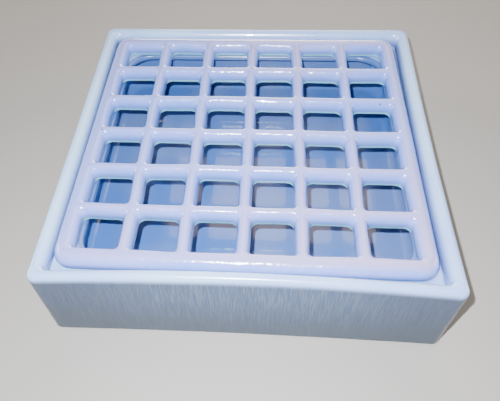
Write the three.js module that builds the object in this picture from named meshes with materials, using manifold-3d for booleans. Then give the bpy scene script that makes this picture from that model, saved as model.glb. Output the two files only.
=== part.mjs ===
// Two-piece glazed ceramic flower frog: a square tray with a recessed ledge and a
// lift-out square lattice insert that holds stems in 6 x 6 rounded-square holes.
// Millimetres, +Z up, base of the tray on z = 0, centred on the Z axis.
import * as THREE from 'three';
import Module from 'manifold-3d';

// ---- driving dimensions (mm) --------------------------------------------------
// tray, outside
const TRAY_W = 150.0;        // across the rim, outside
const BASE_W = 149.2;        // across the walls at the foot
const TRAY_H = 38.0;         // overall height
const TRAY_CORNER_R = 3.4;   // plan radius of the outer corners
const RIM_OUT_R = 2.4;       // rounding over the rim's outer edge
const RIM_IN_W = 3.2;        // width of the slope over the rim's inner edge
const RIM_IN_H = 6.2;        // height of that slope
const FOOT_R = 0.8;          // rounding under the walls
// recess the lattice drops into
const RECESS_W = 138.6;      // across the foot of the recess walls
const RECESS_CORNER_R = 1.6; // plan radius of the recess corners
const LEDGE_Z = 30.7;        // height of the ledge above the base
// cavity that holds the water
const SHELF_W = 121.8;       // across the opening inside the ledge
const SHELF_CORNER_R = 11.0; // plan radius of that opening's corners
const SHELF_T = 3.0;         // thickness of the ledge's lip
const SHELF_EDGE_R = 1.1;    // rounding on the lip
const CAV_W = 135.0;         // across the cavity under the ledge
const CAV_CORNER_R = 10.0;   // plan radius of the cavity corners
const CAV_COVE_R = 4.0;      // cove between the cavity walls and its floor
const FLOOR_Z = 8.0;         // height of the cavity floor above the base
// hollow under the base, inside the foot ring
const UNDER_W = 134.0;
const UNDER_DEPTH = 1.6;
const UNDER_CORNER_R = 8.0;
// lattice
const PITCH_X = 21.3;        // hole to hole, across the front
const PITCH_Y = 20.9;        // hole to hole, front to back
const HOLES = 6;             // holes along each side
const HOLE_W = 15.7;         // across a hole at its narrowest
const HOLE_R = 1.8;          // plan radius of the hole corners at the top
const HOLE_FOOT_R = 3.0;     // plan radius of the hole corners at the foot
const GRID_W = 136.4;        // across the lattice
const GRID_CORNER_R = 8.5;   // plan radius of the lattice corners
const GRID_T = 6.6;          // thickness of the lattice
const BAR_CREST = { wide: 2.4, high: 4.4 };   // rounding from a bar's top into a hole
const BAR_FOOT = { wide: 0.9, high: 0.9 };    // rounding under a bar
const EDGE_CREST = { wide: 4.4, high: 4.0 };  // rounding over the outer edge
const EDGE_FOOT = { wide: 1.5, high: 2.2 };   // rounding under the outer edge
const SEAT_GAP = 0.2;        // clearance kept between lattice and ledge

// ---- helpers ------------------------------------------------------------------
const wasm = await Module();
wasm.setup();
const { Manifold, Mesh } = wasm;

// points round a rounded square, the same number for any size, anticlockwise
function ring(width, radius, perCorner) {
  const h = width / 2;
  const pts = [];
  const centre = [[1, 1], [-1, 1], [-1, -1], [1, -1]];
  for (let k = 0; k < 4; k++) {
    for (let i = 0; i <= perCorner; i++) {
      const a = (k + i / perCorner) * Math.PI / 2;
      pts.push(new THREE.Vector2(
        centre[k][0] * (h - radius) + radius * Math.cos(a),
        centre[k][1] * (h - radius) + radius * Math.sin(a)));
    }
  }
  return pts;
}

// a solid whose outline follows a list of [z, width, corner radius] levels: an
// ExtrudeGeometry with one step per level whose rows are moved to that level
function levels(list, perCorner) {
  const n = list.length - 1;
  const unit = ring(2, 0.5, perCorner);
  const geo = new THREE.ExtrudeGeometry(new THREE.Shape(unit), { depth: n, steps: n, bevelEnabled: false });
  const rings = list.map(([z, w, r]) => ring(w, Math.max(r, 0.05), perCorner));
  const p = geo.attributes.position;
  for (let i = 0; i < p.count; i++) {
    const k = Math.round(p.getZ(i));
    let best = 0, bd = 1e9;
    for (let j = 0; j < unit.length; j++) {
      const d = (unit[j].x - p.getX(i)) ** 2 + (unit[j].y - p.getY(i)) ** 2;
      if (d < bd) { bd = d; best = j; }
    }
    p.setXYZ(i, rings[k][best].x, rings[k][best].y, list[k][0]);
  }
  return geo;
}

// weld a geometry's corners and hand it to manifold
function solid(geo) {
  const p = geo.attributes.position;
  const index = geo.index;
  const count = index ? index.count : p.count;
  const seen = new Map(), verts = [], tris = [];
  for (let i = 0; i < count; i++) {
    const j = index ? index.getX(i) : i;
    const x = p.getX(j), y = p.getY(j), z = p.getZ(j);
    const key = `${Math.round(x * 1e4)},${Math.round(y * 1e4)},${Math.round(z * 1e4)}`;
    let v = seen.get(key);
    if (v === undefined) { v = verts.length / 3; seen.set(key, v); verts.push(x, y, z); }
    tris.push(v);
  }
  const clean = [];
  for (let i = 0; i < tris.length; i += 3) {
    const [a, b, c] = [tris[i], tris[i + 1], tris[i + 2]];
    if (a !== b && b !== c && a !== c) clean.push(a, b, c);
  }
  return new Manifold(new Mesh({ numProp: 3, vertProperties: Float32Array.from(verts), triVerts: Uint32Array.from(clean) }));
}

function geometryOf(manifold) {
  const m = manifold.getMesh();
  const geo = new THREE.BufferGeometry();
  const pos = new Float32Array(m.numVert * 3);
  for (let i = 0; i < m.numVert; i++) {
    for (let k = 0; k < 3; k++) pos[i * 3 + k] = m.vertProperties[i * m.numProp + k];
  }
  geo.setAttribute('position', new THREE.BufferAttribute(pos, 3));
  geo.setIndex(new THREE.BufferAttribute(Uint32Array.from(m.triVerts), 1));
  geo.computeVertexNormals();
  return geo;
}

const QUARTER = Math.PI / 2;

// ---- tray ---------------------------------------------------------------------
const outside = [];
for (let i = 0; i <= 3; i++) {          // rounding under the foot
  const a = i / 3 * QUARTER;
  outside.push([FOOT_R * (1 - Math.cos(a)), BASE_W - 2 * FOOT_R * (1 - Math.sin(a)), TRAY_CORNER_R]);
}
for (let i = 0; i <= 5; i++) {          // rounding over the rim's outer edge
  const a = i / 5 * QUARTER;
  outside.push([TRAY_H - RIM_OUT_R + RIM_OUT_R * Math.sin(a), TRAY_W - 2 * RIM_OUT_R * (1 - Math.cos(a)), TRAY_CORNER_R]);
}
let tray = solid(levels(outside, 6));

// recess with a rounded inner rim edge
const recess = [[LEDGE_Z, RECESS_W, RECESS_CORNER_R]];
for (let i = 0; i <= 6; i++) {
  const a = i / 6 * QUARTER;
  const inset = RIM_IN_W * (1 - Math.cos(a));
  recess.push([TRAY_H - RIM_IN_H * (1 - Math.sin(a)), RECESS_W + 2 * inset, RECESS_CORNER_R + inset]);
}
recess.push([TRAY_H + 4, RECESS_W + 2 * RIM_IN_W, RECESS_CORNER_R + RIM_IN_W]);
tray = tray.subtract(solid(levels(recess, 6)));

// opening inside the ledge, its lip rounded above and below
const lipBottom = LEDGE_Z - SHELF_T;
const opening = [[lipBottom - 1, SHELF_W + 2 * SHELF_EDGE_R, SHELF_CORNER_R + SHELF_EDGE_R]];
for (let i = 0; i <= 3; i++) {
  const a = i / 3 * QUARTER;
  const inset = SHELF_EDGE_R * (1 - Math.sin(a));
  opening.push([lipBottom + SHELF_EDGE_R * (1 - Math.cos(a)), SHELF_W + 2 * inset, SHELF_CORNER_R + inset]);
}
for (let i = 0; i <= 3; i++) {
  const a = i / 3 * QUARTER;
  const inset = SHELF_EDGE_R * (1 - Math.cos(a));
  opening.push([LEDGE_Z - SHELF_EDGE_R * (1 - Math.sin(a)), SHELF_W + 2 * inset, SHELF_CORNER_R + inset]);
}
opening.push([LEDGE_Z + 1, SHELF_W + 2 * SHELF_EDGE_R, SHELF_CORNER_R + SHELF_EDGE_R]);
tray = tray.subtract(solid(levels(opening, 6)));

// water cavity under the ledge, with a cove into the floor
const cavity = [];
for (let i = 0; i <= 4; i++) {
  const a = i / 4 * QUARTER;
  cavity.push([FLOOR_Z + CAV_COVE_R * (1 - Math.cos(a)), CAV_W - 2 * CAV_COVE_R * (1 - Math.sin(a)), CAV_CORNER_R]);
}
cavity.push([lipBottom, CAV_W, CAV_CORNER_R]);
tray = tray.subtract(solid(levels(cavity, 6)));

// shallow hollow under the base
tray = tray.subtract(solid(levels([
  [-1, UNDER_W, UNDER_CORNER_R],
  [UNDER_DEPTH, UNDER_W - 2 * UNDER_DEPTH, UNDER_CORNER_R],
], 6)));

// ---- lattice ------------------------------------------------------------------
// [height, inset] pairs up an edge of the lattice: a quarter of an ellipse under it
// and another over it
const gridBottom = LEDGE_Z + SEAT_GAP;
const gridTop = gridBottom + GRID_T;
function edgeLevels(foot, crest, footSteps, crestSteps) {
  const list = [];
  for (let i = 0; i <= footSteps; i++) {
    const a = i / footSteps * QUARTER;
    list.push([gridBottom + foot.high * (1 - Math.cos(a)), foot.wide * (1 - Math.sin(a))]);
  }
  for (let i = 0; i <= crestSteps; i++) {
    const a = i / crestSteps * QUARTER;
    list.push([gridTop - crest.high * (1 - Math.sin(a)), crest.wide * (1 - Math.cos(a))]);
  }
  return list;
}

const slab = levels(edgeLevels(EDGE_FOOT, EDGE_CREST, 3, 6)
  .map(([z, inset]) => [z, GRID_W - 2 * inset, GRID_CORNER_R - inset]), 6);

// a hole widens by the inset at every level, and its corners open out at the foot
const hole = edgeLevels(BAR_FOOT, BAR_CREST, 2, 4).map(([z, inset]) => {
  const down = (gridTop - z) / GRID_T;
  return [z, HOLE_W + 2 * inset, HOLE_R + (HOLE_FOOT_R - HOLE_R) * down + inset];
});
const [lowest, highest] = [hole[0], hole[hole.length - 1]];
const holeTool = [[lowest[0] - 1, lowest[1], lowest[2]], ...hole, [highest[0] + 1, highest[1], highest[2]]];
let grid = solid(slab);
const cutter = solid(levels(holeTool, 3));
const cutters = [];
for (let i = 0; i < HOLES; i++) {
  for (let j = 0; j < HOLES; j++) {
    cutters.push(cutter.translate([(i - (HOLES - 1) / 2) * PITCH_X, (j - (HOLES - 1) / 2) * PITCH_Y, 0]));
  }
}
grid = grid.subtract(Manifold.union(cutters));

// ---- object -------------------------------------------------------------------
const root = new THREE.Group();
root.name = 'flower_frog';

const trayMesh = new THREE.Mesh(geometryOf(tray), new THREE.MeshStandardMaterial({ name: 'tray_glaze', color: 0x9fb2cf, roughness: 0.25, metalness: 0 }));
trayMesh.name = 'tray';
root.add(trayMesh);

const gridMesh = new THREE.Mesh(geometryOf(grid), new THREE.MeshStandardMaterial({ name: 'grid_glaze', color: 0xb4b4d8, roughness: 0.2, metalness: 0 }));
gridMesh.name = 'grid';
root.add(gridMesh);

export default root;
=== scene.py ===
"""Two-piece glazed ceramic flower frog: a square tray and a lift-out lattice.

Every surface is worked out with numpy in the row frame, in metres, and rides on
its CAD body.
"""
import math

import bpy
import numpy as np
from mathutils import Matrix, Vector


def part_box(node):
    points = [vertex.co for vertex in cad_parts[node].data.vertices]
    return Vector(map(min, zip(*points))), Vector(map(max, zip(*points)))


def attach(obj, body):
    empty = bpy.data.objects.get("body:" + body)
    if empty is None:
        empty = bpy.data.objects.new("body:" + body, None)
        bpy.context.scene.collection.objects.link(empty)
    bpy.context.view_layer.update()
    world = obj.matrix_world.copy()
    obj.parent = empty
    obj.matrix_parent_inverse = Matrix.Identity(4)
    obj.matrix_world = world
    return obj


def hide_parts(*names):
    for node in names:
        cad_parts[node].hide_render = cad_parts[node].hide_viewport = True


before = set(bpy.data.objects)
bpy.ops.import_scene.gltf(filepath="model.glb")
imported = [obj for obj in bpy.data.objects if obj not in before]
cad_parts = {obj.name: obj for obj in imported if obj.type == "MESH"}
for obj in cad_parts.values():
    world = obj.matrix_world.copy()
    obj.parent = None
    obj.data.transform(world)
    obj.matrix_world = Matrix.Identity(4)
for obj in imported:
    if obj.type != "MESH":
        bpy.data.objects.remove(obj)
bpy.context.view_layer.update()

bl_info = {
    "name": "Ceramic flower frog",
    "version": (1, 0, 0),
    "blender": (4, 5, 0),
    "location": "3D View > Sidebar > Flower frog",
    "description": "Builds a glazed two-piece flower frog around its packed CAD frame",
    "category": "Object",
}

TRAY_LOW, TRAY_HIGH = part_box("tray")
GRID_LOW, GRID_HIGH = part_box("grid")
MM = 0.001
QUARTER = math.pi / 2
CLAY, WALL, RIM, LEDGE, LIP, CAVITY = range(6)      # zones of the tray's skin
BOW_AT_FOOT = 0.36           # share of the front's bow that the foot has
RIGHT_BOW, BACK_BOW, LEFT_BOW = 0.35, 0.15, 0.10    # shares that the other walls have
GLAZE_IOR, COAT_IOR, COAT_ROUGHNESS = 1.52, 1.5, 0.03
RUN_BUMP = 0.15              # strength of the fine runs down the walls
CLAY_ROUGHNESS = 0.75
CREASE = 0.25                # how fast a hole's corner radius grows away from its outline
SOFT_WHITE = (1.0, 0.98, 0.95)
LIGHTS = (                   # name, place, target, disc width, watts, colour
    ("key", (-0.007, -0.157, 0.206), (0.0, 0.0, 0.03), 0.004, 2.3, (0.93, 0.97, 1.0)),
    ("fill", (0.22, 0.60, 0.80), (0.0, 0.0, 0.0), 0.9, 5.5, (1.0, 0.80, 0.64)),
    ("left", (-1.2, 0.25, 0.34), (0.0, 0.0, 0.02), 0.7, 10.0, SOFT_WHITE),
    ("right", (1.2, 0.25, 0.34), (0.0, 0.0, 0.02), 0.7, 7.0, SOFT_WHITE),
    ("back", (0.0, 1.3, 0.30), (0.0, 0.0, 0.02), 0.7, 10.0, SOFT_WHITE),
)


# ---------------------------------------------------------------- properties
class TrayProps(bpy.types.PropertyGroup):
    """Sizes of the tray, close to the CAD solid's, and the bow that only this skin has."""
    width: bpy.props.FloatProperty(
        name="Rim width", description="Across the outside of the rim",
        default=TRAY_HIGH.x - TRAY_LOW.x, unit="LENGTH")
    height: bpy.props.FloatProperty(
        name="Height", description="From the foot to the top of the rim",
        default=TRAY_HIGH.z, unit="LENGTH")
    base_width: bpy.props.FloatProperty(
        name="Base width", description="Across the walls at the foot",
        default=149.2 * MM, unit="LENGTH")
    corner_radius: bpy.props.FloatProperty(
        name="Corner radius", description="Plan radius of the outer corners",
        default=3.4 * MM, unit="LENGTH")
    rim_radius: bpy.props.FloatProperty(
        name="Rim rounding", description="Rounding over the rim's outer edge",
        default=2.3 * MM, unit="LENGTH")
    rim_slope: bpy.props.FloatProperty(
        name="Rim slope", description="Width of the slope over the rim's inner edge",
        default=3.3 * MM, unit="LENGTH")
    rim_drop: bpy.props.FloatProperty(
        name="Rim drop", description="Height of that slope",
        default=6.3 * MM, unit="LENGTH")
    recess_width: bpy.props.FloatProperty(
        name="Recess width", description="Across the recess the lattice drops into",
        default=138.6 * MM, unit="LENGTH")
    ledge_z: bpy.props.FloatProperty(
        name="Ledge height", description="Height of the ledge above the base",
        default=30.7 * MM, unit="LENGTH")
    shelf_width: bpy.props.FloatProperty(
        name="Opening width", description="Across the opening inside the ledge",
        default=121.8 * MM, unit="LENGTH")
    shelf_thickness: bpy.props.FloatProperty(
        name="Lip thickness", description="Thickness of the ledge's lip",
        default=3.0 * MM, unit="LENGTH")
    cavity_width: bpy.props.FloatProperty(
        name="Cavity width", description="Across the water cavity",
        default=135.0 * MM, unit="LENGTH")
    floor_z: bpy.props.FloatProperty(
        name="Floor height", description="Height of the cavity floor above the base",
        default=8.0 * MM, unit="LENGTH")
    bow: bpy.props.FloatProperty(
        name="Front bow", description="How far the front wall is drawn in at its middle",
        default=2.5 * MM, unit="LENGTH")


class GridProps(bpy.types.PropertyGroup):
    """Sizes of the lattice, close to the CAD solid's, and its hand-made irregularity."""
    width: bpy.props.FloatProperty(
        name="Lattice width", description="Across the lattice",
        default=GRID_HIGH.x - GRID_LOW.x, unit="LENGTH")
    top: bpy.props.FloatProperty(
        name="Lattice top", description="Height of the top of the bars",
        default=GRID_HIGH.z, unit="LENGTH")
    bottom: bpy.props.FloatProperty(
        name="Lattice underside", description="Height of the underside",
        default=GRID_LOW.z, unit="LENGTH")
    pitch: bpy.props.FloatProperty(
        name="Pitch", description="Hole to hole, front to back",
        default=20.9 * MM, unit="LENGTH")
    pitch_across: bpy.props.FloatProperty(
        name="Pitch across", description="Hole to hole, across the front",
        default=21.3 * MM, unit="LENGTH")
    lie: bpy.props.FloatVectorProperty(
        name="Lie", description="How far right and back the lattice lies in its play",
        default=(-0.5 * MM, 0.7 * MM), size=2, unit="LENGTH")
    draw_in: bpy.props.FloatProperty(
        name="Front draw-in", description="How far the front edge is drawn in",
        default=0.9 * MM, unit="LENGTH")
    holes: bpy.props.IntProperty(
        name="Holes per side", description="Holes along each side", default=6, min=1)
    hole_width: bpy.props.FloatProperty(
        name="Hole width", description="Across a stem hole at its narrowest",
        default=15.7 * MM, unit="LENGTH")
    hole_radius: bpy.props.FloatProperty(
        name="Hole corner radius", description="Plan radius of a hole's corners at the top",
        default=1.5 * MM, unit="LENGTH")
    hole_foot_radius: bpy.props.FloatProperty(
        name="Hole foot radius", description="Plan radius of a hole's corners at the foot",
        default=3.1 * MM, unit="LENGTH")
    corner_radius: bpy.props.FloatProperty(
        name="Corner radius", description="Plan radius of the lattice's corners",
        default=8.5 * MM, unit="LENGTH")
    bar_crest: bpy.props.FloatVectorProperty(
        name="Bar crest", description="Width and height of the rounding from a bar into a hole",
        size=2, default=(2.45 * MM, 4.7 * MM), unit="LENGTH")
    bar_foot: bpy.props.FloatVectorProperty(
        name="Bar foot", description="Width and height of the rounding under a bar",
        size=2, default=(1.0 * MM, 1.0 * MM), unit="LENGTH")
    edge_crest: bpy.props.FloatVectorProperty(
        name="Edge crest", description="Width and height of the rounding over the outer edge",
        size=2, default=(4.6 * MM, 4.2 * MM), unit="LENGTH")
    edge_foot: bpy.props.FloatVectorProperty(
        name="Edge foot", description="Width and height of the rounding under the outer edge",
        size=2, default=(1.7 * MM, 2.2 * MM), unit="LENGTH")
    corner_reach: bpy.props.FloatProperty(
        name="Corner reach", description="Length of the cells' square that the outline's corner faces",
        default=4.6 * MM, unit="LENGTH")
    wobble: bpy.props.FloatProperty(
        name="Unevenness", description="How far hand pressing moves the surface",
        default=0.3 * MM, unit="LENGTH")


class GlazeProps(bpy.types.PropertyGroup):
    """Colours and gloss of the glaze."""
    top: bpy.props.FloatVectorProperty(
        name="Lavender", description="Glaze on the upper faces", subtype="COLOR",
        size=3, min=0, max=1, default=(0.225, 0.280, 0.690))
    blush: bpy.props.FloatVectorProperty(
        name="Blush", description="Pinker patches of the upper faces", subtype="COLOR",
        size=3, min=0, max=1, default=(0.300, 0.275, 0.540))
    slope: bpy.props.FloatVectorProperty(
        name="Periwinkle", description="Glaze on the bars' slopes", subtype="COLOR",
        size=3, min=0, max=1, default=(0.150, 0.240, 0.700))
    iron: bpy.props.FloatVectorProperty(
        name="Iron specks", description="Dark specks in the glaze", subtype="COLOR",
        size=3, min=0, max=1, default=(0.09, 0.08, 0.08))
    thin: bpy.props.FloatVectorProperty(
        name="Pale", description="Glaze where it thins over the rim", subtype="COLOR",
        size=3, min=0, max=1, default=(0.330, 0.520, 0.780))
    pool: bpy.props.FloatVectorProperty(
        name="Blue", description="Glaze low on the walls of the stem holes", subtype="COLOR",
        size=3, min=0, max=1, default=(0.075, 0.180, 0.480))
    green: bpy.props.FloatVectorProperty(
        name="Green", description="Glaze beads at the lower hole edges", subtype="COLOR",
        size=3, min=0, max=1, default=(0.20, 0.50, 0.52))
    wall: bpy.props.FloatVectorProperty(
        name="Wall", description="Glaze on the outer walls", subtype="COLOR",
        size=3, min=0, max=1, default=(0.050, 0.084, 0.172))
    wall_run: bpy.props.FloatVectorProperty(
        name="Wall runs", description="Fine pale runs down the walls", subtype="COLOR",
        size=3, min=0, max=1, default=(0.100, 0.140, 0.225))
    wall_streak: bpy.props.FloatVectorProperty(
        name="Wall streaks", description="Broad grey streaks down the walls", subtype="COLOR",
        size=3, min=0, max=1, default=(0.055, 0.075, 0.110))
    # Painted shade: a darker colour towards the tray's corners, standing in for the light falling off away
    # from the middle of each wall.
    wall_corner_shade: bpy.props.FloatVectorProperty(
        name="Wall corner shade", description="Darker colour towards the tray's corners: painted shade", subtype="COLOR",
        size=3, min=0, max=1, default=(0.030, 0.042, 0.085))
    wall_foot: bpy.props.FloatVectorProperty(
        name="Wall foot", description="Darker, greyer colour low on the walls", subtype="COLOR",
        size=3, min=0, max=1, default=(0.036, 0.052, 0.075))
    rim: bpy.props.FloatVectorProperty(
        name="Rim patches", description="Bluer patches of the rim", subtype="COLOR",
        size=3, min=0, max=1, default=(0.270, 0.390, 0.740))
    # Partly painted shade: the groove's dark blue stands in for the shade in the gap round the lattice as
    # well as for the glaze.
    groove: bpy.props.FloatVectorProperty(
        name="Groove", description="Glaze in the groove round the lattice, darkened with painted shade", subtype="COLOR",
        size=3, min=0, max=1, default=(0.055, 0.085, 0.320))
    groove_patch: bpy.props.FloatVectorProperty(
        name="Groove patches", description="Paler patches of the groove", subtype="COLOR",
        size=3, min=0, max=1, default=(0.090, 0.130, 0.400))
    floor: bpy.props.FloatVectorProperty(
        name="Cavity", description="Glaze in the water cavity", subtype="COLOR",
        size=3, min=0, max=1, default=(0.040, 0.115, 0.360))
    floor_patch: bpy.props.FloatVectorProperty(
        name="Cavity patches", description="Greyer patches in the cavity", subtype="COLOR",
        size=3, min=0, max=1, default=(0.085, 0.145, 0.350))
    clay: bpy.props.FloatVectorProperty(
        name="Clay", description="Bare clay of the foot and underside", subtype="COLOR",
        size=3, min=0, max=1, default=(0.42, 0.38, 0.34))
    roughness: bpy.props.FloatProperty(
        name="Roughness", description="Roughness of the glaze",
        default=0.22, min=0, max=1)


class StageProps(bpy.types.PropertyGroup):
    """The floor and the camera."""
    floor_half: bpy.props.FloatProperty(
        name="Floor half-width", description="From the middle of the floor to its edge",
        default=1.6, unit="LENGTH")
    floor_colour: bpy.props.FloatVectorProperty(
        name="Floor", description="Colour of the floor", subtype="COLOR",
        size=3, min=0, max=1, default=(0.300, 0.288, 0.275))
    place: bpy.props.FloatVectorProperty(
        name="Camera place", description="Where the camera stands", size=3, unit="LENGTH",
        default=(5.4 * MM, -165.2 * MM, 194.3 * MM))
    aim: bpy.props.FloatVectorProperty(
        name="Camera aim", description="Yaw, downward pitch and roll in radians", size=3, unit="ROTATION",
        default=(math.radians(-6.523), math.radians(51.464), math.radians(-3.462)))
    lens: bpy.props.FloatProperty(
        name="Lens", description="Focal length in millimetres, for a sensor 36 mm wide", default=38.8152)
    shift: bpy.props.FloatVectorProperty(
        name="Lens shift", description="Sideways and upward shift of the lens", size=2,
        default=(0.056, 0.015))


# ------------------------------------------------------------------ geometry
def rounded_square(per_side, per_corner):
    """Parameters round a rounded square, anticlockwise from the front right corner.

    Each row holds the corner's signs and the cosine and sine of the angle on its arc,
    for two arc points, and the share of the way from the first to the second. On an arc
    both are the same point. Along a straight they are the ends of the arcs it joins."""
    signs = np.array([(1.0, -1.0), (1.0, 1.0), (-1.0, 1.0), (-1.0, -1.0)])

    def arc_points(corner, angle):
        """The corner's two signs and the cosine and sine of each angle, in columns."""
        sign = np.broadcast_to(signs[corner % 4], (len(angle), 2))
        return np.column_stack([sign, np.cos(angle), np.sin(angle)])

    along = np.linspace(0, 1, per_corner + 1)
    share = np.arange(1, per_side) / per_side
    rows = []
    for k in range(4):
        arc = arc_points(k, (k - 1 + along) * QUARTER)
        end = np.full(len(share), k * QUARTER)
        rows.append(np.column_stack([arc, arc, np.zeros(len(arc))]))
        rows.append(np.column_stack([arc_points(k, end), arc_points(k + 1, end), share]))
    return np.concatenate(rows)


def sweep_square(half, radius, path):
    """Profile rows carried round a rounded square: rows x path points x 2.

    half and radius have one value per row, h and r. An arc point is the corner's
    centre, signs times (h - r), plus r times (cosine, sine)."""
    sx, sy, cos_a, sin_a, ux, uy, cos_b, sin_b, share = path.T
    h, r = half[:, None], radius[:, None]
    ax, ay = sx * (h - r) + r * cos_a, sy * (h - r) + r * sin_a
    bx, by = ux * (h - r) + r * cos_b, uy * (h - r) + r * sin_b
    return np.stack([ax + (bx - ax) * share, ay + (by - ay) * share], 2)


def quads_between(rows, cols, offset=0):
    """Quads joining each row of a grid of vertices to the next, wrapping round."""
    i, j = np.meshgrid(np.arange(rows - 1), np.arange(cols), indexing="ij")
    following = (j + 1) % cols
    return (offset + np.stack([i * cols + j, i * cols + following,
                               (i + 1) * cols + following, (i + 1) * cols + j], 2)).reshape(-1, 4)


def value_noise(p, scale, seed):
    """Smooth noise from -1 to 1: random values on a cubic lattice of cell size
    scale, blended by smoothstep weights between its eight corners."""
    size, primes = 4096, (73856093, 19349663, 83492791)
    table = np.random.default_rng(seed).uniform(-1, 1, size)
    q = p / scale
    base = np.floor(q).astype(np.int64)
    f = q - base
    f = f * f * (3 - 2 * f)
    out = np.zeros(len(p))
    for corner in range(8):
        step = np.array([corner & 1, corner >> 1 & 1, corner >> 2 & 1])
        a, b, c = ((base + step) * primes).T
        weight = np.prod(np.where(step, f, 1 - f), axis=1)
        out += weight * table[(a ^ b ^ c) & (size - 1)]
    return out


def make_object(name, verts, faces, attributes=None, smooth=True):
    """Mesh object from an array of vertices, a list of arrays of quads or triangles,
    and float attributes with one value per vertex."""
    mesh = bpy.data.meshes.new(name)
    mesh.from_pydata(verts.tolist(), [], [row for block in faces for row in block.tolist()])
    for key, values in (attributes or {}).items():
        layer = mesh.attributes.new(key, "FLOAT", "POINT")
        layer.data.foreach_set("value", np.asarray(values, np.float32))
    mesh.polygons.foreach_set("use_smooth", np.full(len(mesh.polygons), smooth))
    mesh.validate()
    mesh.update()
    obj = bpy.data.objects.new(name, mesh)
    bpy.context.collection.objects.link(obj)
    return obj


def weld(verts, faces, step=1e-6):
    """Merges vertices that share a place, to the nearest step."""
    key = np.round(verts / step).astype(np.int64)
    _, first, inverse = np.unique(key, axis=0, return_index=True, return_inverse=True)
    return verts[first], inverse.reshape(-1)[faces]


def tray_profile(p):
    """Rows (half-width, corner radius, height, zone) from the middle of the underside
    out, up the wall, over the rim, down the recess, over the lip, down the cavity and
    back to the middle of the floor. Roundings are quarters of circles or ellipses."""
    half, base, top = p.width / 2, p.base_width / 2, p.height
    recess, lip, cavity = p.recess_width / 2, p.shelf_width / 2, p.cavity_width / 2
    radius, foot = p.corner_radius, 0.9 * MM        # plan radius and foot rounding of the walls
    under, hollow = 67.0 * MM, 1.6 * MM             # half-width and depth of the hollow below
    under_r, ring_r = 8.0 * MM, 5.0 * MM            # plan radii of the hollow and the foot ring
    sharp, lip_r, cove_r = 1.6 * MM, 11.0 * MM, 10.0 * MM   # plan radii: recess, lip, cavity
    fillet = 0.7 * MM                               # between the recess walls and the ledge
    bead = 1.2 * MM                                 # rounding of the lip's edge
    roof, cove = 1.0 * MM, 4.0 * MM                 # roundings at the cavity's top and floor
    ledge, lip_low = p.ledge_z, p.ledge_z - p.shelf_thickness
    wall_top = top - p.rim_radius

    def arc(steps, fn):
        """A quarter turn: fn of the sine and cosine at each step."""
        return [fn(math.sin(a), math.cos(a)) for a in np.linspace(0, QUARTER, steps + 1)]

    def line(steps, first, last, zone):
        """The points strictly between first and last, all in one zone."""
        return [tuple(a + (b - a) * t for a, b in zip(first, last)) + (zone,)
                for t in np.linspace(0, 1, steps + 1)[1:-1]]

    rows = [(h * MM, min(8.0, h * 0.5) * MM, hollow, CLAY) for h in (8, 20, 34, 48, 58)]
    rows += [(under - hollow - 0.6 * MM, under_r, hollow, CLAY),
             (under - hollow, under_r, hollow - 0.1 * MM, CLAY),
             (under - 0.5 * MM, under_r, 0.35 * MM, CLAY),
             (under + 0.4 * MM, under_r, 0.0, CLAY),
             (base - foot - 1.2 * MM, ring_r, 0.0, CLAY)]
    rows += arc(5, lambda s, c: (base - foot + foot * s, radius, foot - foot * c, WALL))
    rows += line(26, (base, radius, foot), (half, radius, wall_top), WALL)
    rows += arc(12, lambda s, c: (half - p.rim_radius * (1 - c), radius, wall_top + p.rim_radius * s, WALL))
    rows += arc(14, lambda s, c: (recess + p.rim_slope * (1 - s), sharp + p.rim_slope * (1 - s),
                                  top - p.rim_drop * (1 - c), RIM))
    rows += line(5, (recess, sharp, top - p.rim_drop), (recess, sharp, ledge + fillet), RIM)
    rows += arc(4, lambda s, c: (recess - fillet * (1 - c), sharp, ledge + fillet * (1 - s), LEDGE))
    rows += line(7, (recess - fillet, sharp, ledge), (lip + bead, lip_r + bead, ledge), LEDGE)
    rows += arc(7, lambda s, c: (lip + bead * (1 - s), lip_r + bead * (1 - s), ledge - bead * (1 - c), LIP))
    rows += arc(7, lambda s, c: (lip + bead * (1 - c), lip_r + bead * (1 - c), lip_low + bead * (1 - s), LIP))
    rows += line(3, (lip + bead, lip_r, lip_low), (cavity - roof, cove_r, lip_low), CAVITY)
    rows += arc(4, lambda s, c: (cavity - roof * (1 - s), cove_r, lip_low - roof * (1 - c), CAVITY))
    rows += line(12, (cavity, cove_r, lip_low - roof), (cavity, cove_r, p.floor_z + cove), CAVITY)
    rows += arc(9, lambda s, c: (cavity - cove * (1 - c), cove_r, p.floor_z + cove * (1 - s), CAVITY))
    rows += [(h * MM, min(10.0, h * 0.5) * MM, p.floor_z, CAVITY) for h in range(60, 0, -4)]
    return np.array(rows)


def bow_walls(verts, p):
    """Draws the sides in towards their middles. Each point moves in by the bow times
    three factors: a hump along the side (a cosine to the power 0.9, nothing at the
    corners), a ramp from nothing inside the ledge to one at the recess wall, and a
    share that grows from the foot to the rim."""
    x, y, z = verts.T
    half = p.width / 2
    sharpness, ramp_start, ramp_length = 0.9, 0.84 * half, 0.08 * half
    right_offset = 0.15 * half      # the right wall's hump lies in front of its middle

    def hump(t):
        """A power of a cosine: 1 at the middle of a side and 0 at its ends."""
        return np.cos(np.clip(t / half, -1, 1) * QUARTER) ** sharpness

    def ramp(t):
        """Goes from 0 to 1 as t goes from ramp_start over ramp_length."""
        return np.clip((t - ramp_start) / ramp_length, 0, 1)

    bow = p.bow * (BOW_AT_FOOT + (1 - BOW_AT_FOOT) * np.clip(z / p.height, 0, 1))
    out = verts.copy()
    out[:, 1] += bow * hump(x) * ramp(-y)
    out[:, 0] -= RIGHT_BOW * bow * hump(y + right_offset) * ramp(x)
    out[:, 1] -= BACK_BOW * bow * hump(x) * ramp(y)
    out[:, 0] += LEFT_BOW * bow * hump(y) * ramp(-x)
    return out


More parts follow.
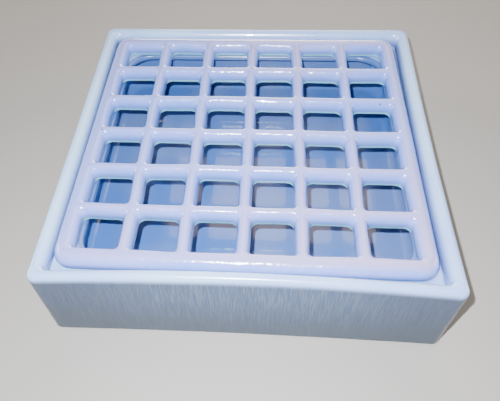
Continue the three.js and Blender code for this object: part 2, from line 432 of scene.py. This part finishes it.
def add_unevenness(verts, normals, amount, scale, seed):
    """Moves each point in along its normal by 0 to amount, after two octaves of smooth
    noise, so that the surface stays inside its CAD size."""
    n = 0.6 * value_noise(verts, scale, seed) + 0.4 * value_noise(verts, scale * 0.45, seed + 1)
    return verts - normals * (amount * (0.5 + 0.5 * n))[:, None]


def vertex_normals(verts, faces):
    """Area-weighted vertex normals: the cross products of the diagonals of the quads
    round a vertex, summed and made one long."""
    a, b, c, d = (verts[faces[:, k]] for k in range(4))
    across = np.cross(c - a, d - b)
    out = np.zeros_like(verts)
    for k in range(4):
        np.add.at(out, faces[:, k], across)
    return out / np.maximum(np.linalg.norm(out, axis=1, keepdims=True), 1e-12)


def tray_surface(p):
    """The tray as one closed skin: tray_profile carried round rounded squares, with
    the middle of floor and underside closed by a fan each."""
    waver, waver_cell, foot_level = 0.22 * MM, 26 * MM, 0.2 * MM
    profile = tray_profile(p)
    xy = sweep_square(profile[:, 0], profile[:, 1], rounded_square(44, 10))
    rows, cols = xy.shape[:2]
    z = np.repeat(profile[:, 2:3], cols, 1)
    verts = np.concatenate([xy, z[:, :, None]], 2).reshape(-1, 3)
    zone = np.repeat(profile[:, 3], cols)
    faces = quads_between(rows, cols)
    moved = add_unevenness(verts, vertex_normals(verts, faces), waver, waver_cell, 11)
    resting = (zone == CLAY) | (verts[:, 2] < foot_level)
    verts = bow_walls(np.where(resting[:, None], verts, moved), p)
    ends = np.array([[0, 0, profile[0, 2]], [0, 0, verts[-cols:, 2].mean()]])
    low_end, high_end = len(verts), len(verts) + 1
    last = (rows - 1) * cols
    j = np.arange(cols)
    following = (j + 1) % cols
    low = np.stack([np.full(cols, low_end), following, j], 1)
    high = np.stack([np.full(cols, high_end), last + j, last + following], 1)
    verts = np.concatenate([verts, ends])
    zone = np.concatenate([zone, [CLAY, CAVITY]])
    return verts, [faces, low, high], zone


def even_square(half, per_side, per_corner):
    """Points evenly spaced round a square of half-width half, in step with
    rounded_square: the square's corner faces the middle of the corner's arc."""
    total = per_side + per_corner
    corners = np.array([(1.0, -1.0), (1.0, 1.0), (-1.0, 1.0), (-1.0, -1.0)])
    place = (np.arange(4 * total) - per_corner // 2) / total
    side = np.floor(place).astype(int)
    t = (place - side)[:, None]
    return half * (corners[side % 4] * (1 - t) + corners[(side + 1) % 4] * t)


def lattice_cell(p, per_side, per_corner):
    """One hole and half of each bar round it, as rings from the middle of the bars'
    underside, round the hole's foot, up its wall and over to the middle of the bars.

    A ring at distance d from the hole's narrowest outline is a rounded square of
    half-width hole_width / 2 + d. Its corner radius is a quarter of d, plus a value that
    falls from hole_foot_radius at the foot to hole_radius at the top with the square of
    the depth below the top, so that the bars meet in soft creases. The first and last
    rings are the cell's own square, reached in two steps over the flat where four bars
    cross. Foot and crest are quarters of ellipses."""
    (crest, rise), (foot, lift) = p.bar_crest, p.bar_foot
    rows = [(foot, p.bottom, 1.0), (foot, p.bottom, 0.5)]
    rows += [(foot * (1 - math.sin(a)), p.bottom + lift * (1 - math.cos(a)), 0.0)
             for a in np.linspace(0, QUARTER, 6)]
    rows += [(crest * (1 - math.cos(a)), p.top - rise * (1 - math.sin(a)), 0.0)
             for a in np.linspace(0, QUARTER, 14)]
    rows += [(crest, p.top, 0.5), (crest, p.top, 1.0)]
    d, z, share = np.array(rows).T
    down = (p.top - z) / (p.top - p.bottom)
    radius = p.hole_radius + (p.hole_foot_radius - p.hole_radius) * down ** 2
    path = rounded_square(per_side, per_corner)
    rings = sweep_square(p.hole_width / 2 + d, radius + CREASE * d, path)
    square = even_square(p.pitch / 2, per_side, per_corner)
    rings += (square - rings) * share[:, None, None]
    return np.concatenate([rings, np.broadcast_to(z[:, None, None], rings.shape[:2] + (1,))], 2)


def border_strip(p, per_cell):
    """The lattice's border outside the cells: rings from the cells' outer square over
    the border, round its outer edge and back underneath.

    Each point of the square goes to the point of the rounded outline that it faces.
    Past the corner reach the outline's point turns with it through the corner's arc."""
    inner = p.holes * p.pitch / 2
    outer, radius = p.width / 2, p.corner_radius
    x = np.linspace(-inner, inner, p.holes * per_cell + 1)[:-1]
    straight = inner - p.corner_reach
    turn = np.sign(x) * np.clip((np.abs(x) - straight) / p.corner_reach, 0, 1) * QUARTER / 2
    centre = np.clip(x / straight, -1, 1) * (outer - radius)
    away = np.stack([np.sin(turn), -np.cos(turn)], 1)
    front = np.stack([centre, np.full_like(x, radius - outer)], 1) + radius * away
    angle = np.arange(4) * QUARTER
    spin = np.array([[np.cos(angle), -np.sin(angle)], [np.sin(angle), np.cos(angle)]]).transpose(2, 0, 1)
    square, outline, away = (np.concatenate([side @ m.T for m in spin]) for side in (
        np.stack([x, np.full_like(x, -inner)], 1), front, away))
    (crest, rise), (foot, lift) = p.edge_crest, p.edge_foot
    top_in, low_in = outline - away * crest, outline - away * foot
    rows = [(square, p.top), (square + (top_in - square) * 0.5, p.top)]
    rows += [(top_in + away * crest * math.sin(a), p.top - rise * (1 - math.cos(a)))
             for a in np.linspace(0, QUARTER, 15)]
    rows += [(low_in + away * foot * math.cos(a), p.bottom + lift * (1 - math.sin(a)))
             for a in np.linspace(0, QUARTER, 9)]
    rows += [(low_in + (square - low_in) * t, p.bottom) for t in (0.5, 1.0)]
    return np.stack([np.concatenate([xy, np.full((len(xy), 1), z)], 1) for xy, z in rows])


def hand_pressed(verts, p):
    """Fits the square lattice to its real spacing and makes it a little irregular: x is
    stretched over the holes, the front edge comes in and the whole lies to one side, the
    points move sideways by smooth noise that fades to nothing at the outline, and the
    upper face sinks by smooth noise."""
    x, y, z = verts.T
    margin, side_cell, sink_cell, fine_cell = 9 * MM, 12 * MM, 30 * MM, 9 * MM
    half, inner = p.width / 2, p.holes * p.pitch / 2
    fade = np.clip((half - np.maximum(np.abs(x), np.abs(y))) / margin, 0, 1)
    spread = np.clip((half - np.abs(x)) / (half - inner), 0, 1)
    front = np.clip((-y - inner) / (half - inner), 0, 1)
    flat = verts * (1, 1, 0)
    out = verts.copy()
    out[:, 0] += p.lie[0] + x * spread * (p.pitch_across / p.pitch - 1)
    out[:, 1] += p.lie[1] + front * p.draw_in
    out[:, 0] += p.wobble * fade * value_noise(flat, side_cell, 5)
    out[:, 1] += p.wobble * fade * value_noise(flat, side_cell, 6)
    rise = (z - p.bottom) / (p.top - p.bottom)
    sink = 0.5 + 0.3 * value_noise(flat, sink_cell, 7) + 0.2 * value_noise(flat, fine_cell, 8)
    out[:, 2] -= p.wobble * rise * sink
    return out


def lattice_surface(p):
    """The lattice as one closed skin: a cell repeated over the holes and the border
    strip round them, welded along their shared edges."""
    per_side, per_corner = 10, 8
    cell = lattice_cell(p, per_side, per_corner)
    rings, cols = cell.shape[:2]
    cell = cell.reshape(-1, 3)
    strip = border_strip(p, per_side + per_corner)
    centre = (np.arange(p.holes) - (p.holes - 1) / 2) * p.pitch
    cx, cy = np.meshgrid(centre, centre, indexing="ij")
    shift = np.stack([cx, cy, np.zeros_like(cx)], 2).reshape(-1, 1, 3)
    cells = (cell + shift).reshape(-1, 3)
    first = np.arange(p.holes ** 2)[:, None, None] * len(cell)
    faces = np.concatenate([(quads_between(rings, cols) + first).reshape(-1, 4),
                            quads_between(*strip.shape[:2], offset=len(cells))])
    verts, faces = weld(np.concatenate([cells, strip.reshape(-1, 3)]), faces[:, ::-1])
    return hand_pressed(verts, p), [faces]


# ----------------------------------------------------------------- materials
class Nodes:
    """A material's node tree, with a short method for each kind of node it needs. A
    value passed to a method is a number, a colour or another node's output."""

    def __init__(self, name):
        self.material = bpy.data.materials.new(name)
        self.material.use_nodes = True
        self.tree = self.material.node_tree
        self.tree.nodes.clear()
        output = self.add("ShaderNodeOutputMaterial")
        self.shader = self.add("ShaderNodeBsdfPrincipled")
        self.tree.links.new(self.shader.outputs["BSDF"], output.inputs["Surface"])

    def add(self, kind, **settings):
        """A new node with its settings."""
        node = self.tree.nodes.new(kind)
        for key, value in settings.items():
            setattr(node, key, value)
        return node

    def put(self, value, node, key):
        """Links an output to a node's input, or sets the input to a number or colour."""
        socket = node.inputs[key]
        if isinstance(value, bpy.types.NodeSocket):
            self.tree.links.new(value, socket)
        elif isinstance(value, (int, float)):
            socket.default_value = value
        elif socket.type == "RGBA":
            socket.default_value = (*tuple(value)[:3], 1.0)
        else:
            socket.default_value = value

    def coords(self):
        """Object coordinates."""
        return self.add("ShaderNodeTexCoord").outputs["Object"]

    def attribute(self, name):
        """A float attribute of the mesh."""
        return self.add("ShaderNodeAttribute", attribute_name=name).outputs["Fac"]

    def axes(self):
        """Object coordinates as outputs X, Y and Z."""
        node = self.add("ShaderNodeSeparateXYZ")
        self.put(self.coords(), node, "Vector")
        return node.outputs

    def noise(self, scale, detail, rough, stretch=None):
        """Noise from 0 to 1, its coordinates scaled by stretch along each axis."""
        node = self.add("ShaderNodeTexNoise")
        place = self.coords()
        if stretch:
            mapping = self.add("ShaderNodeMapping")
            self.put(place, mapping, "Vector")
            self.put(stretch, mapping, "Scale")
            place = mapping.outputs["Vector"]
        for key, value in (("Vector", place), ("Scale", scale), ("Detail", detail), ("Roughness", rough)):
            self.put(value, node, key)
        return node.outputs["Fac"]

    def ramp(self, value, low, high, to_low=0.0, to_high=1.0, smooth=True):
        """Goes from to_low to to_high as the value goes from low to high."""
        node = self.add("ShaderNodeMapRange", interpolation_type="SMOOTHSTEP" if smooth else "LINEAR")
        for key, v in (("Value", value), ("From Min", low), ("From Max", high),
                       ("To Min", to_low), ("To Max", to_high)):
            self.put(v, node, key)
        return node.outputs["Result"]

    def math(self, operation, a, b=0.0):
        """Arithmetic on one or two values."""
        node = self.add("ShaderNodeMath", operation=operation)
        self.put(a, node, 0)
        self.put(b, node, 1)
        return node.outputs[0]

    def mix(self, factor, a, b):
        """Colour a where factor is 0 and b where it is 1."""
        node = self.add("ShaderNodeMix", data_type="RGBA")
        for key, value in ((0, factor), (6, a), (7, b)):
            self.put(value, node, key)
        return node.outputs[2]

    def bump(self, height, strength, distance, normal=None):
        """A normal bent by a height, on top of another normal if one is given."""
        node = self.add("ShaderNodeBump")
        self.put(strength, node, "Strength")
        self.put(distance, node, "Distance")
        self.put(height, node, "Height")
        if normal is not None:
            self.put(normal, node, "Normal")
        return node.outputs["Normal"]


def finish_glaze(n, colour, normal, roughness, coat):
    """Sets the glaze's shader: a coloured body under a clear glossy coat."""
    for key, value in (("Base Color", colour), ("Normal", normal), ("Roughness", roughness),
                       ("IOR", GLAZE_IOR), ("Coat Weight", coat), ("Coat IOR", COAT_IOR),
                       ("Coat Roughness", COAT_ROUGHNESS)):
        n.put(value, n.shader, key)
    return n.material


def specks(n, scale, size, seed_shift):
    """Scattered tiny specks: 1 inside small spheres about cell points, in the few cells
    whose random value is the highest, and 0 elsewhere."""
    rare_from, rare_to = 0.93, 0.94
    mapping = n.add("ShaderNodeMapping")
    n.put(n.coords(), mapping, "Vector")
    n.put((seed_shift, seed_shift * 0.7, seed_shift * 1.3), mapping, "Location")
    cells = n.add("ShaderNodeTexVoronoi", feature="F1")
    n.put(mapping.outputs["Vector"], cells, "Vector")
    n.put(scale, cells, "Scale")
    near = n.ramp(cells.outputs["Distance"], size * 0.6, size, 1.0, 0.0)
    pick = n.add("ShaderNodeSeparateColor")
    n.put(cells.outputs["Color"], pick, "Color")
    rare = n.ramp(pick.outputs["Red"], rare_from, rare_to, smooth=False)
    return n.math("MULTIPLY", near, rare)


def lattice_glaze(glaze, grid):
    """Pinkish lavender on the crests, periwinkle on the slopes, sky blue low on the
    hole walls and a teal bead of glaze at their foot."""
    n = Nodes("grid_glaze")
    z = n.axes()["Z"]
    patch = n.noise(24.0, 3.0, 0.55)
    broad = n.noise(8.0, 2.0, 0.5)
    crest = n.mix(n.ramp(broad, 0.36, 0.66), glaze.top, glaze.blush)
    slope = n.mix(n.ramp(patch, 0.35, 0.70), glaze.slope, glaze.top)
    colour = n.mix(n.ramp(z, grid.top - 0.25 * MM, grid.top - 1.5 * MM), crest, slope)
    low = n.ramp(z, grid.top - 2.2 * MM, grid.bottom + 1.7 * MM, 0.0, 0.85)
    colour = n.mix(low, colour, glaze.pool)
    bead = n.ramp(z, grid.bottom + 1.9 * MM, grid.bottom + 0.9 * MM, 0.0, 0.75)
    colour = n.mix(bead, colour, glaze.green)
    colour = n.mix(n.math("MULTIPLY", specks(n, 160.0, 0.10, 3.0), 0.8), colour, glaze.iron)
    normal = n.bump(n.noise(210.0, 2.0, 0.5), 0.55, 0.7 * MM)
    normal = n.bump(n.noise(75.0, 2.0, 0.5), 0.25, 1.0 * MM, normal)
    return finish_glaze(n, colour, normal, glaze.roughness, 0.9)


def wall_colour(n, glaze, tray, runs):
    """Grey-blue with fine runs and broad streaks, with painted shade that darkens it towards the tray's
    corners in place of the light falling off there, and greyer at the foot."""
    axes = n.axes()
    streaks = n.noise(260.0, 3.0, 0.6, stretch=(1.0, 1.0, 0.08))
    colour = n.mix(n.ramp(runs, 0.40, 0.66), glaze.wall, glaze.wall_run)
    colour = n.mix(n.ramp(streaks, 0.45, 0.75, 0.0, 0.4), colour, glaze.wall_streak)
    # Painted shade: the colour darkens towards each wall's ends, in place of the light falling off away from
    # the walls' middles.
    along = n.math("MINIMUM", n.math("ABSOLUTE", axes["X"]), n.math("ABSOLUTE", axes["Y"]))
    end = n.ramp(along, 0.15 * tray.width, 0.45 * tray.width, 0.0, 0.6)
    colour = n.mix(end, colour, glaze.wall_corner_shade)
    # Darker and greyer towards the foot of the walls.
    return n.mix(n.ramp(axes["Z"], 30 * MM, 3 * MM, 0.0, 0.8), colour, glaze.wall_foot)


def tray_glaze(glaze, tray):
    """Pale over the rim, grey-blue with fine runs down the walls, deep blue in the groove round the lattice
    and in the cavity, bare clay under the foot. The groove's deep blue, darkening down the recess, is partly
    glaze and partly painted shade."""
    n = Nodes("tray_glaze")
    z = n.axes()["Z"]
    zone = n.attribute("zone")
    runs = n.noise(2300.0, 3.0, 0.65, stretch=(1.0, 1.0, 0.045))
    patch = n.ramp(n.noise(16.0, 3.0, 0.55), 0.40, 0.66)
    floor_patch = n.ramp(n.noise(22.0, 3.0, 0.5), 0.40, 0.65)
    rim = n.mix(patch, glaze.thin, glaze.rim)
    groove = n.mix(patch, glaze.groove, glaze.groove_patch)
    floor = n.mix(floor_patch, glaze.floor, glaze.floor_patch)
    over_rim = n.ramp(z, tray.height - 4.2 * MM, tray.height - 0.8 * MM)
    outside = n.mix(over_rim, wall_colour(n, glaze, tray, runs), rim)
    # Partly painted shade: the recess walls go from the pale rim colour at the top to the darker groove
    # colour low down, where shade falls in the gap round the lattice.
    recess = n.mix(n.ramp(z, tray.height - 6.6 * MM, tray.height - 1.2 * MM), groove, rim)
    recess = n.mix(n.ramp(zone, LEDGE - 0.6, LEDGE - 0.2, 0.0, 0.8, smooth=False), recess, rim)
    inside = n.mix(n.ramp(zone, LEDGE + 0.1, LEDGE + 0.7, smooth=False), recess, floor)
    past_rim = n.ramp(zone, WALL + 0.4, WALL + 0.6, smooth=False)
    bare = n.ramp(zone, WALL - 0.4, WALL - 0.1, 1.0, 0.0, smooth=False)
    colour = n.mix(past_rim, outside, inside)
    colour = n.mix(bare, colour, glaze.clay)
    colour = n.mix(n.math("MULTIPLY", specks(n, 150.0, 0.11, 8.0), 0.75), colour, glaze.iron)
    normal = n.bump(n.noise(55.0, 2.0, 0.5), 0.25, 1.4 * MM)
    normal = n.bump(n.noise(380.0, 4.0, 0.6), 0.10, 0.2 * MM, normal)
    normal = n.bump(runs, RUN_BUMP, 0.2 * MM, normal)
    roughness = n.ramp(zone, WALL - 0.4, WALL - 0.1, CLAY_ROUGHNESS, glaze.roughness, smooth=False)
    return finish_glaze(n, colour, normal, roughness, past_rim)


# ----------------------------------------------------------------- operators
class FROG_OT_tray(bpy.types.Operator):
    """Builds the tray's glazed skin"""
    bl_idname = "frog.tray"
    bl_label = "Build tray"

    def execute(self, context):
        p, glaze = context.scene.frog_tray, context.scene.frog_glaze
        verts, faces, zone = tray_surface(p)
        obj = make_object("tray_body", verts, faces, {"zone": zone})
        obj.data.materials.append(tray_glaze(glaze, p))
        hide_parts("tray")
        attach(obj, "tray")
        return {"FINISHED"}


class FROG_OT_lattice(bpy.types.Operator):
    """Builds the lift-out lattice of stem holes"""
    bl_idname = "frog.lattice"
    bl_label = "Build lattice"

    def execute(self, context):
        p, glaze = context.scene.frog_grid, context.scene.frog_glaze
        verts, faces = lattice_surface(p)
        obj = make_object("lattice", verts, faces)
        obj.data.materials.append(lattice_glaze(glaze, p))
        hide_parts("grid")
        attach(obj, "grid")
        return {"FINISHED"}


def aim_camera(place, yaw, pitch, roll):
    """Camera matrix from its place and its yaw, downward pitch and roll in radians."""
    forward = np.array([math.sin(yaw) * math.cos(pitch), math.cos(yaw) * math.cos(pitch), -math.sin(pitch)])
    level = np.array([math.cos(yaw), -math.sin(yaw), 0.0])
    upright = np.cross(level, forward)
    matrix = np.eye(4)
    matrix[:3, 0] = math.cos(roll) * level + math.sin(roll) * upright
    matrix[:3, 1] = -math.sin(roll) * level + math.cos(roll) * upright
    matrix[:3, 2] = -forward
    matrix[:3, 3] = place
    return Matrix(matrix.tolist())


def add_area(name, place, target, size, power, colour):
    """A disc-shaped area light at place, facing target."""
    data = bpy.data.lights.new(name, "AREA")
    data.shape, data.size, data.energy, data.color = "DISK", size, power, colour
    obj = bpy.data.objects.new(name, data)
    bpy.context.collection.objects.link(obj)
    turn = (Vector(target) - Vector(place)).to_track_quat("-Z", "Y")
    obj.matrix_world = Matrix.Translation(Vector(place)) @ turn.to_matrix().to_4x4()


def studio_world():
    """A world that glows near the horizon, to light the walls, and is dim overhead: its
    strength falls by smoothstep as the direction's height goes from low to high."""
    low, high, bright, dim, warm_white = 0.10, 0.55, 1.6, 0.10, (1.0, 0.97, 0.94, 1.0)
    world = bpy.data.worlds.new("studio")
    world.use_nodes = True
    nodes, links = world.node_tree.nodes, world.node_tree.links
    sky = nodes["Background"]
    sky.inputs["Color"].default_value = warm_white
    split = nodes.new("ShaderNodeSeparateXYZ")
    glow = nodes.new("ShaderNodeMapRange")
    glow.interpolation_type = "SMOOTHSTEP"
    for key, value in (("From Min", low), ("From Max", high), ("To Min", bright), ("To Max", dim)):
        glow.inputs[key].default_value = value
    links.new(nodes.new("ShaderNodeTexCoord").outputs["Generated"], split.inputs["Vector"])
    links.new(split.outputs["Z"], glow.inputs["Value"])
    links.new(glow.outputs["Result"], sky.inputs["Strength"])
    return world


class FROG_OT_stage(bpy.types.Operator):
    """Adds the floor, lights and camera"""
    bl_idname = "frog.stage"
    bl_label = "Set the stage"

    def execute(self, context):
        p = context.scene.frog_stage
        corners = np.array([(-1.0, -1.0, 0.0), (-1.0, 1.0, 0.0), (1.0, -1.0, 0.0), (1.0, 1.0, 0.0)])
        floor = make_object("stage_floor", corners * p.floor_half, [np.array([(0, 2, 3, 1)])], smooth=False)
        matt = Nodes("stage_floor")
        matt.put(p.floor_colour, matt.shader, "Base Color")
        matt.put(0.7, matt.shader, "Roughness")
        floor.data.materials.append(matt.material)

        context.scene.world = studio_world()
        for light in LIGHTS:
            add_area(*light)

        data = bpy.data.cameras.new("camera")
        data.sensor_width, data.lens = 36.0, p.lens
        data.shift_x, data.shift_y = p.shift
        data.clip_start, data.clip_end = 0.01, 20.0
        camera = bpy.data.objects.new("camera", data)
        context.collection.objects.link(camera)
        camera.matrix_world = aim_camera(p.place, *p.aim)
        context.scene.camera = camera
        return {"FINISHED"}


class FROG_PT_panel(bpy.types.Panel):
    """Lists the flower frog's build steps"""
    bl_idname = "FROG_PT_panel"
    bl_label = "Flower frog"
    bl_space_type = "VIEW_3D"
    bl_region_type = "UI"
    bl_category = "Flower frog"

    def draw(self, context):
        scene = context.scene
        for op in BUILD_ORDER:
            self.layout.operator(op)
        for group in (scene.frog_tray, scene.frog_grid, scene.frog_glaze, scene.frog_stage):
            box = self.layout.box()
            for key in group.bl_rna.properties.keys():
                if key not in ("rna_type", "name"):
                    box.prop(group, key)


BUILD_ORDER = ("frog.tray", "frog.lattice", "frog.stage")
CLASSES = (TrayProps, GridProps, GlazeProps, StageProps, FROG_OT_tray, FROG_OT_lattice,
           FROG_OT_stage, FROG_PT_panel)


def register():
    for cls in CLASSES:
        bpy.utils.register_class(cls)
    bpy.types.Scene.frog_tray = bpy.props.PointerProperty(type=TrayProps)
    bpy.types.Scene.frog_grid = bpy.props.PointerProperty(type=GridProps)
    bpy.types.Scene.frog_glaze = bpy.props.PointerProperty(type=GlazeProps)
    bpy.types.Scene.frog_stage = bpy.props.PointerProperty(type=StageProps)


def unregister():
    del bpy.types.Scene.frog_stage
    del bpy.types.Scene.frog_glaze
    del bpy.types.Scene.frog_grid
    del bpy.types.Scene.frog_tray
    for cls in reversed(CLASSES):
        bpy.utils.unregister_class(cls)


def main():
    """Builds every piece and the stage."""
    register()
    for op in BUILD_ORDER:
        group, name = op.split(".")
        getattr(getattr(bpy.ops, group), name)()


if __name__ == "__main__":
    main()
